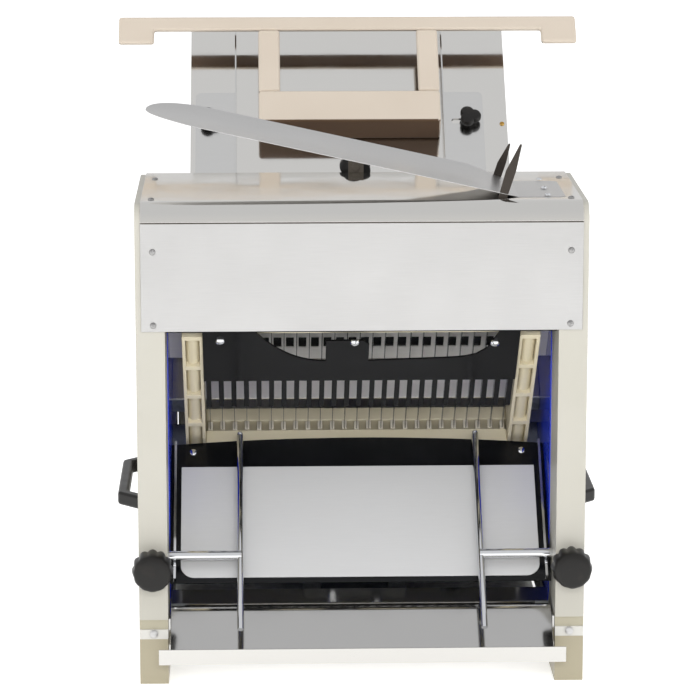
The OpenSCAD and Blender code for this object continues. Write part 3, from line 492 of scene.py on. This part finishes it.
# moulded knobs turned about their joints: a scalloped skirt that runs out into a round, slightly domed face
# each ring is a share of the knob's length, a radius and a scallop's depth in millimetres
lockKnob = {"nodes": ("lock_knob_left", "lock_knob_right"), "outward": -1, "lobes": 12,
            "rings": ((0.0, 4.0, 0), (0.475, 4.0, 0), (0.475, 12.5, 0), (0.60, 13.0, 0), (0.63, 15.0, 0),
                      (0.645, 23.5, 1.8), (0.66, 25.4, 2.9), (0.69, 26.0, 3.1), (0.76, 25.9, 2.7),
                      (0.86, 24.9, 1.5), (0.93, 23.7, 0.5), (0.962, 22.2, 0.1),
                      (0.978, 20.0, 0), (0.986, 16.0, 0), (0.997, 8.0, 0), (1.0, 2.0, 0))}
chuteKnob = {"nodes": ("chute_knob_left", "chute_knob_right"), "outward": 1, "lobes": 3,
             "rings": ((0.0, 6.5, 0), (0.28, 7.0, 0), (0.34, 12.0, 2.5), (0.40, 15.2, 4.6), (0.48, 16.0, 5.2),
                       (0.78, 16.0, 5.2), (0.90, 15.2, 4.8), (0.97, 13.0, 3.8), (1.0, 9.0, 2.0), (1.0, 3.0, 0))}
deckKnob = {"nodes": ("deck_knob",), "outward": 1, "lobes": 5,
            "rings": ((0.0, 3.8, 0), (0.15, 3.8, 0), (0.155, 17.0, 1.0), (0.19, 20.2, 2.2), (0.28, 21.0, 2.6),
                      (0.75, 21.0, 2.6), (0.9, 19.8, 2.0), (0.97, 17.0, 1.0), (1.0, 12.0, 0), (1.0, 3.0, 0))}
knobSegments = 120
turnOf = {j["child"]: j for j in frame["joints"]}


def buildKnob(name, look):
    turn = turnOf[bodyOf[name]]
    axis = Vector(turn["axis"]).normalized() * look["outward"]
    origin = Vector(turn["pos_m"])
    spans = [(v.co - origin).dot(axis) for v in nodes[name].data.vertices]
    start, length = min(spans), max(spans) - min(spans)
    turned = axis.to_track_quat("Z", "Y").to_matrix()
    work = bmesh.new()
    loops = []
    for share, radius, scallop in look["rings"]:
        loop = []
        for i in range(knobSegments):
            angle = math.tau * i / knobSegments
            dip = 1 - abs(math.cos(look["lobes"] * angle / 2))
            r = (radius - scallop * dip) / 1000
            rim = Vector((r * math.cos(angle), r * math.sin(angle), start + length * share))
            loop.append(work.verts.new(origin + turned @ rim))
        loops.append(loop)
    joinLoops(work, loops)
    work.faces.new(list(reversed(loops[0])))
    work.faces.new(loops[-1])
    standIn(name, work, "_moulded", sharpAngle=50)


def looseParts(name):
    work = bmesh.new()
    work.from_mesh(nodes[name].data)
    bmesh.ops.remove_doubles(work, verts=work.verts, dist=weld)
    seen, groups = set(), []
    for vert in work.verts:
        if vert in seen:
            continue
        group, queue = [], [vert]
        seen.add(vert)
        while queue:
            at = queue.pop()
            group.append(at.co.copy())
            for edge in at.link_edges:
                other = edge.other_vert(at)
                if other not in seen:
                    seen.add(other)
                    queue.append(other)
        groups.append(group)
    work.free()
    return groups


# domed screw heads with a sawn slot, seated where the CAD heads are; a profile is radii and heights in millimetres
panProfile = ((4.0, 0.0), (4.0, 0.5), (3.7, 1.3), (2.8, 2.1), (1.4, 2.55), (0.4, 2.6))
rivetProfile = ((5.0, 0.0), (4.9, 0.7), (4.4, 1.6), (3.4, 2.4), (1.8, 2.9), (0.4, 3.0))
plainHead = {"slot": 0, "depth": 0, "turn": 0}
screwHeads = {
    "cover_screws": {"slot": 1.1, "depth": 1.2, "turn": 25, "profile": panProfile},
    "scoop_screws": {"slot": 1.1, "depth": 1.2, "turn": 70, "profile": panProfile},
    "outfeed_rivets": {**plainHead, "profile": rivetProfile},
}
headSegments = 40
turnStep = 47  # degrees from one slot to the next, so that they don't line up


def addHead(whole, look, foot, axis, count, scale=1):
    work = bmesh.new()
    angles = [math.tau * i / headSegments for i in range(headSegments)]
    loops = []
    for r, h in look["profile"]:
        loops.append([work.verts.new((r * math.cos(angle), r * math.sin(angle), h)) for angle in angles])
    joinLoops(work, loops)
    work.faces.new(loops[-1])
    if look["slot"]:
        half = look["slot"] / 2
        for side in (-1, 1):
            bmesh.ops.bisect_plane(work, geom=work.verts[:] + work.edges[:] + work.faces[:],
                                   plane_co=(0, side * half, 0), plane_no=(0, 1, 0))
        floor = look["profile"][-1][1] - look["depth"]
        strip = [f for f in work.faces if abs(f.calc_center_median().y) < half and f.calc_center_median().z > floor]
        sunk = bmesh.ops.extrude_face_region(work, geom=strip)
        for vert in [g for g in sunk["geom"] if isinstance(g, bmesh.types.BMVert)]:
            vert.co.z = min(vert.co.z, floor)
        bmesh.ops.delete(work, geom=[f for f in strip if f.is_valid], context="FACES")
    turned = axis.to_track_quat("Z", "Y").to_matrix().to_4x4()
    turned = turned @ Matrix.Rotation(math.radians(look["turn"] + turnStep * count), 4, "Z")
    placed = Matrix.Translation(foot) @ turned @ Matrix.Scale(scale / 1000, 4)
    bmesh.ops.transform(work, verts=work.verts, matrix=placed)
    part = bpy.data.meshes.new("head")
    work.to_mesh(part)
    work.free()
    whole.from_mesh(part)
    bpy.data.meshes.remove(part)


def buildHeads(name, look):
    whole = bmesh.new()
    for count, group in enumerate(looseParts(name)):
        middle = sum(group, Vector()) / len(group)
        reach = [max(v[i] for v in group) - min(v[i] for v in group) for i in range(3)]
        if name == "outfeed_rivets":
            axis = acrossPath
        else:
            axis = Vector((0, -1, 0)) if reach[1] < reach[2] else Vector((0, 0, 1))
        foot = middle + axis * (min(v.dot(axis) for v in group) - middle.dot(axis))
        addHead(whole, look, foot, axis, count, max(reach) / 2 / (look["profile"][0][0] / 1000))
    standIn(name, whole, "_turned", sharpAngle=40)


# bread blades: scalloped teeth ground along the edge that meets the loaf
toothedBlades = {"nodes": ("front_blades", "rear_blades"), "toothMm": 7.0, "depthMm": 1.6, "groundMm": 3.0,
                 "stepMm": 0.875, "edgeMm": 0.12}


def buildBlades(name, look):
    work = bmesh.new()
    thin = look["edgeMm"] / 2000
    for group in looseParts(name):
        x = [v.x for v in group]
        up = [v.dot(pathUp) for v in group]
        along = [v.dot(acrossPath) for v in group]
        middle, thick = (max(x) + min(x)) / 2, (max(x) - min(x)) / 2
        back, ground = min(up), max(up) - look["groundMm"] / 1000
        rows = int((max(along) - min(along)) * 1000 / look["stepMm"])
        loops = []
        for row in range(rows + 1):
            w = min(along) + (max(along) - min(along)) * row / rows
            phase = (w * 1000 / look["toothMm"]) % 1
            tip = max(up) - look["depthMm"] / 1000 * (1 - abs(math.sin(math.pi * phase)))
            section = ((-thick, back), (thick, back), (thick, ground), (thin, tip), (-thin, tip), (-thick, ground))
            loops.append([work.verts.new(Vector((middle + side, 0, 0)) + pathUp * v + acrossPath * w)
                          for side, v in section])
        joinLoops(work, loops)
        work.faces.new(list(reversed(loops[0])))
        work.faces.new(loops[-1])
    bmesh.ops.recalc_face_normals(work, faces=work.faces)
    standIn(name, work, "_toothed", sharpAngle=20)


def addSheet(work, outline, place):
    rings = [[work.verts.new(place(x, y, d) / 1000) for x, y in outline] for d in (0, 1)]
    work.faces.new(list(reversed(rings[0])))
    work.faces.new(rings[1])
    joinLoops(work, rings)


# bag scoop: a long stainless tongue with a round tip and a rolled rear rim, on a screwed foot
scoopTongue = {"node": "bag_scoop", "rootX": 196, "middleY": -194, "deckZ": 614, "tilt": 12.5, "length": 475,
               "half": 64, "thick": 0.6, "tipLength": 80, "tipPower": 0.5, "tipHalf": 1.5,
               "rim": 10.0, "rimFrom": -0.4, "rimEase": 60, "footTo": 254, "footCorner": 6,
               "rows": 72, "columns": 16, "crowding": 1.6}


def buildScoop(look):
    work = bmesh.new()
    tilt = math.radians(look["tilt"])
    along, square = Vector((-math.cos(tilt), 0, math.sin(tilt))), Vector((math.sin(tilt), 0, math.cos(tilt)))
    root = Vector((look["rootX"], look["middleY"], look["deckZ"]))
    rows, columns = look["rows"], look["columns"]
    sheets = []
    for depth in (0, look["thick"]):
        grid = []
        for i in range(rows + 1):
            run = look["length"] * (1 - (1 - i / rows) ** look["crowding"])  # rows crowd towards the round tip
            left = look["length"] - run
            half = look["half"] * (1 - max(0, 1 - left / look["tipLength"]) ** 2) ** look["tipPower"]
            half = max(half, look["tipHalf"])
            line = []
            for j in range(columns + 1):
                side = 2 * j / columns - 1
                curl = max(0, (side - look["rimFrom"]) / (1 - look["rimFrom"])) ** 2
                lift = look["rim"] * curl * half / look["half"] * min(1, run / look["rimEase"])
                spot = root + along * run + Vector((0, half * side, 0)) + square * (lift + depth)
                line.append(work.verts.new(spot / 1000))
            grid.append(line)
        sheets.append(grid)
    low, top = sheets
    for i in range(rows):
        for j in range(columns):
            work.faces.new((top[i][j], top[i][j + 1], top[i + 1][j + 1], top[i + 1][j]))
            work.faces.new((low[i][j], low[i + 1][j], low[i + 1][j + 1], low[i][j + 1]))
    for j in range(columns):
        for i in (0, rows):
            work.faces.new((low[i][j], low[i][j + 1], top[i][j + 1], top[i][j]))
    for i in range(rows):
        for j in (0, columns):
            work.faces.new((low[i][j], low[i + 1][j], top[i + 1][j], top[i][j]))
    x0, x1 = look["rootX"] - look["thick"], look["footTo"]
    y0, y1 = look["middleY"] - look["half"], look["middleY"] + look["half"]
    corner = look["footCorner"]
    foot = [(x0, y0), (x1 - corner, y0), (x1, y0 + corner), (x1, y1 - corner), (x1 - corner, y1), (x0, y1)]
    addSheet(work, foot, lambda x, y, d: Vector((x, y, look["deckZ"] + d * look["thick"])))
    bmesh.ops.recalc_face_normals(work, faces=work.faces)
    standIn(look["node"], work, "_sheet", sharpAngle=35)


buildScoop(scoopTongue)
for name, look in screwHeads.items():
    buildHeads(name, look)
for name in toothedBlades["nodes"]:
    buildBlades(name, toothedBlades)
for look in (lockKnob, chuteKnob, deckKnob):
    for name in look["nodes"]:
        buildKnob(name, look)
print("scoop, heads, blades and knobs made:", len(made))

for name in nodes:
    if name in made:
        continue
    width = edgeBreak.get(name, edgeBreak["usual"])
    if width:
        softenEdges(name, width)
    else:
        nodes[name].data.materials.clear()
        nodes[name].data.materials.append(finishOf[name])
print("nodes replaced by finer pieces:", len(made))


# small trim that the CAD nodes leave out, in millimetres, placed along the bread path or in the room's own axes
trimSharpAngle = 40
boxFaces = (((0, 0, 0), (0, 1, 0), (1, 1, 0), (1, 0, 0)), ((0, 0, 1), (1, 0, 1), (1, 1, 1), (0, 1, 1)),
            ((0, 0, 0), (1, 0, 0), (1, 0, 1), (0, 0, 1)), ((0, 1, 0), (0, 1, 1), (1, 1, 1), (1, 1, 0)),
            ((0, 0, 0), (0, 0, 1), (0, 1, 1), (0, 1, 0)), ((1, 0, 0), (1, 1, 0), (1, 1, 1), (1, 0, 1)))


def onPath(x, v, w):
    return pathOrigin + Vector((x / 1000, 0, 0)) + pathUp * (v / 1000) + acrossPath * (w / 1000)


def inRoom(x, y, z):
    return Vector((x, y, z)) / 1000


def addTrim(name, work, body, material):
    bmesh.ops.recalc_face_normals(work, faces=work.faces)
    addPiece(name, work, body, material, trimSharpAngle)


def addTube(work, start, end, inner, outer, segments=40):
    turned = (end - start).normalized().to_track_quat("Z", "Y").to_matrix()
    angles = [math.tau * i / segments for i in range(segments)]
    loops = []
    for place, r in ((start, inner), (start, outer), (end, outer), (end, inner)):
        loops.append([work.verts.new(place + turned @ Vector((r * math.cos(angle), r * math.sin(angle), 0)))
                      for angle in angles])
    joinLoops(work, loops + loops[:1])


def addBar(work, low, high, rounding, place=onPath):
    ends = list(zip(low, high))
    spots = {(i, j, k): work.verts.new(place(ends[0][i], ends[1][j], ends[2][k]))
             for i in (0, 1) for j in (0, 1) for k in (0, 1)}
    faces = [work.faces.new([spots[key] for key in quad]) for quad in boxFaces]
    edges = list(dict.fromkeys(edge for face in faces for edge in face.edges))
    bmesh.ops.bevel(work, geom=edges, offset=rounding / 1000, segments=2, affect="EDGES")


# sleeves in the blade frames' beams, where the frames slide on the guide rods
slideBoss = {"inner": 8.3, "outer": 8.9, "inset": 1,
             "frames": {"front": "front_frame_beams", "rear": "rear_frame_beams"}}
for side, node in slideBoss["frames"].items():
    work = bmesh.new()
    along = [v.co.dot(acrossPath) for v in nodes[node].data.vertices]
    ups = [v.co.dot(pathUp) for v in nodes[node].data.vertices]
    start, end = min(along) + slideBoss["inset"] / 1000, max(along) - slideBoss["inset"] / 1000
    for rod in looseParts("guide_rods"):
        middle = sum(rod, Vector()) / len(rod)
        if min(ups) < middle.dot(pathUp) < max(ups):
            flat = Vector((middle.x, 0, 0)) + pathUp * middle.dot(pathUp)
            addTube(work, flat + acrossPath * start, flat + acrossPath * end,
                    slideBoss["inner"] / 1000, slideBoss["outer"] / 1000)
    addTrim(side + "_slide_bosses", work, bodyOf[node], finishes["cream_casting"])

# turned-up edges of the outfeed bed
bedFlange = {"x": 236.4, "thick": 3.0, "rise": 11.0, "from": -244, "to": -40, "rounding": 0.5}
work = bmesh.new()
for side in (-1, 1):
    x, half = side * bedFlange["x"], bedFlange["thick"] / 2
    addBar(work, (x - half, bedFlange["from"], 0), (x + half, bedFlange["to"], bedFlange["rise"]),
           bedFlange["rounding"])
addTrim("bed_side_flanges", work, bodyOf["outfeed_bed"], finishes["bright_steel"])

# a dark strip behind the hold-down plate's windows, painted shade for the dark seen through them, stiffened by a bright
# one
windowShadeBacking = {"half": 202, "up": 30.6, "thick": 0.4, "low": 122, "high": 155, "stiffener": 1.0, "lap": 1,
                 "rounding": 0.3}
half, behind, lap = windowShadeBacking["half"], windowShadeBacking["up"] + windowShadeBacking["thick"], windowShadeBacking["lap"]
work = bmesh.new()
addBar(work, (-half, windowShadeBacking["up"], windowShadeBacking["low"]), (half, behind, windowShadeBacking["high"]),
       windowShadeBacking["rounding"])
addTrim("plate_window_backing", work, bodyOf["hold_down_plate"], finishes["dark_steel"])
work = bmesh.new()
addBar(work, (-half, behind, windowShadeBacking["low"] - lap),
       (half, behind + windowShadeBacking["stiffener"], windowShadeBacking["high"] + lap), windowShadeBacking["rounding"])
addTrim("plate_window_stiffener", work, bodyOf["hold_down_plate"], finishOf["hold_down_plate"])

# a thin wear strip on the chute just before the blades
throatStrip = {"half": 202, "from": 31.5, "to": 84, "thick": 0.6, "rounding": 0.15}
work = bmesh.new()
addBar(work, (-throatStrip["half"], throatStrip["from"], 0),
       (throatStrip["half"], throatStrip["to"], throatStrip["thick"]), throatStrip["rounding"])
addTrim("throat_wear_strip", work, bodyOf["chute_plate"], finishOf["hold_down_plate"])

# a dark strip painted along the fold where the deck sheet laps the fascia, for the seam's shadow and dark reflection
noseShadeLine = {"drop": 1.2, "rise": 0.4, "proud": 0.35, "deep": 0.8, "inset": 0.5, "rounding": 0.15}
fasciaLow, fasciaHigh = (Vector(corner) * 1000 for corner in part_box("front_fascia"))
work = bmesh.new()
addBar(work, (fasciaLow.x + noseShadeLine["inset"], fasciaLow.y - noseShadeLine["proud"], fasciaHigh.z - noseShadeLine["drop"]),
       (fasciaHigh.x - noseShadeLine["inset"], fasciaLow.y + noseShadeLine["deep"], fasciaHigh.z + noseShadeLine["rise"]),
       noseShadeLine["rounding"], inRoom)
addTrim("nose_seam", work, bodyOf["front_fascia"], paintedShadeSteel)

# black skirts that close the sides below the liners
linerSkirt = {"inner": 241.2, "outer": 243.4, "from": -205, "to": 60, "low": 51, "high": 86, "rounding": 0.3}
work = bmesh.new()
for side in (-1, 1):
    addBar(work, (side * linerSkirt["inner"], linerSkirt["from"], linerSkirt["low"]),
           (side * linerSkirt["outer"], linerSkirt["to"], linerSkirt["high"]), linerSkirt["rounding"], inRoom)
addTrim("liner_skirts", work, "body", finishes["dark_steel"])

# flat bolt heads at the foot of the front posts
postBolts = {**plainHead, "places": ((-262, -296.6, 66), (262, -296.6, 66)),
             "profile": ((5.2, 0.0), (5.2, 0.5), (4.6, 1.0), (2.0, 1.1), (0.4, 1.1))}
work = bmesh.new()
for count, place in enumerate(postBolts["places"]):
    addHead(work, postBolts, inRoom(*place), Vector((0, -1, 0)), count)
addTrim("post_bolts", work, "body", finishes["satin_stainless"])

# the scoop's two bent prongs; a shape is its side, how far it leans and its height
scoopProngs = {"back": 15, "width": 11, "tip": 2.5, "bend": 5, "thick": 1.2, "shapes": ((-1, 18, 66), (1, 13, 50))}


def addProng(work, look, side, lean, rise):
    rootX, edge = scoopTongue["rootX"] - look["back"], scoopTongue["middleY"] + side * scoopTongue["half"]
    # up one edge, round the tip and down the other
    outline = [(-look["width"], 0), (0, 0), (lean * 0.62, rise * 0.5), (lean, rise - 2), (lean - 0.6, rise),
               (lean - look["tip"], rise - 1), (lean * 0.3 - 7, rise * 0.5)]
    addSheet(work, outline, lambda x, z, d: Vector((
        rootX + x, edge - side * (d * look["thick"] + look["bend"] * z / rise), scoopTongue["deckZ"] + z)))


work = bmesh.new()
for side, lean, rise in scoopProngs["shapes"]:
    addProng(work, scoopProngs, side, lean, rise)
# the prongs are painted dark for the shade and dark reflection on their edges
addTrim("scoop_prongs", work, bodyOf["bag_scoop"], paintedShadeSteel)

# the end of the deck knob's stud, seen in the knob's face
studCap = {**plainHead, "profile": ((5.6, 0.05), (5.6, 0.4), (4.9, 0.8), (2.0, 0.9), (0.4, 0.9))}
studEnd = Vector(turnOf[bodyOf["deck_knob"]]["pos_m"])
studEnd.y = min(v.co.y for v in nodes["deck_knob"].data.vertices)
work = bmesh.new()
addHead(work, studCap, studEnd, Vector((0, -1, 0)), 0)
addTrim("deck_knob_cap", work, bodyOf["deck_knob"], finishOf["knob_clip"])

# three bright screws in the comb and a yellow one beside the right loaf guide
combScrews = {"places": ((-176, -31, 234), (-8, -31, 229), (167, -31, 226)), "slot": 1.4, "depth": 1.6, "turn": 30,
              "profile": ((6.0, 0.0), (6.0, 1.0), (5.6, 2.2), (4.4, 3.2), (2.4, 3.9), (0.5, 4.0)),
              "axis": -pathUp, "finish": finishes["bright_steel"]}
chuteScrew = {"places": ((213.8, 483, 0),), "slot": 1.0, "depth": 1.0, "turn": 20,
              "profile": ((3.4, 0.0), (3.4, 0.5), (3.1, 1.2), (2.3, 1.7), (1.0, 2.0), (0.3, 2.1)),
              "axis": acrossPath, "finish": zincYellow}
for name, look in (("comb_screws", combScrews), ("chute_screw", chuteScrew)):
    work = bmesh.new()
    for count, place in enumerate(look["places"]):
        addHead(work, look, onPath(*place), look["axis"], count)
    addTrim(name, work, "body", look["finish"])
print("trim added")
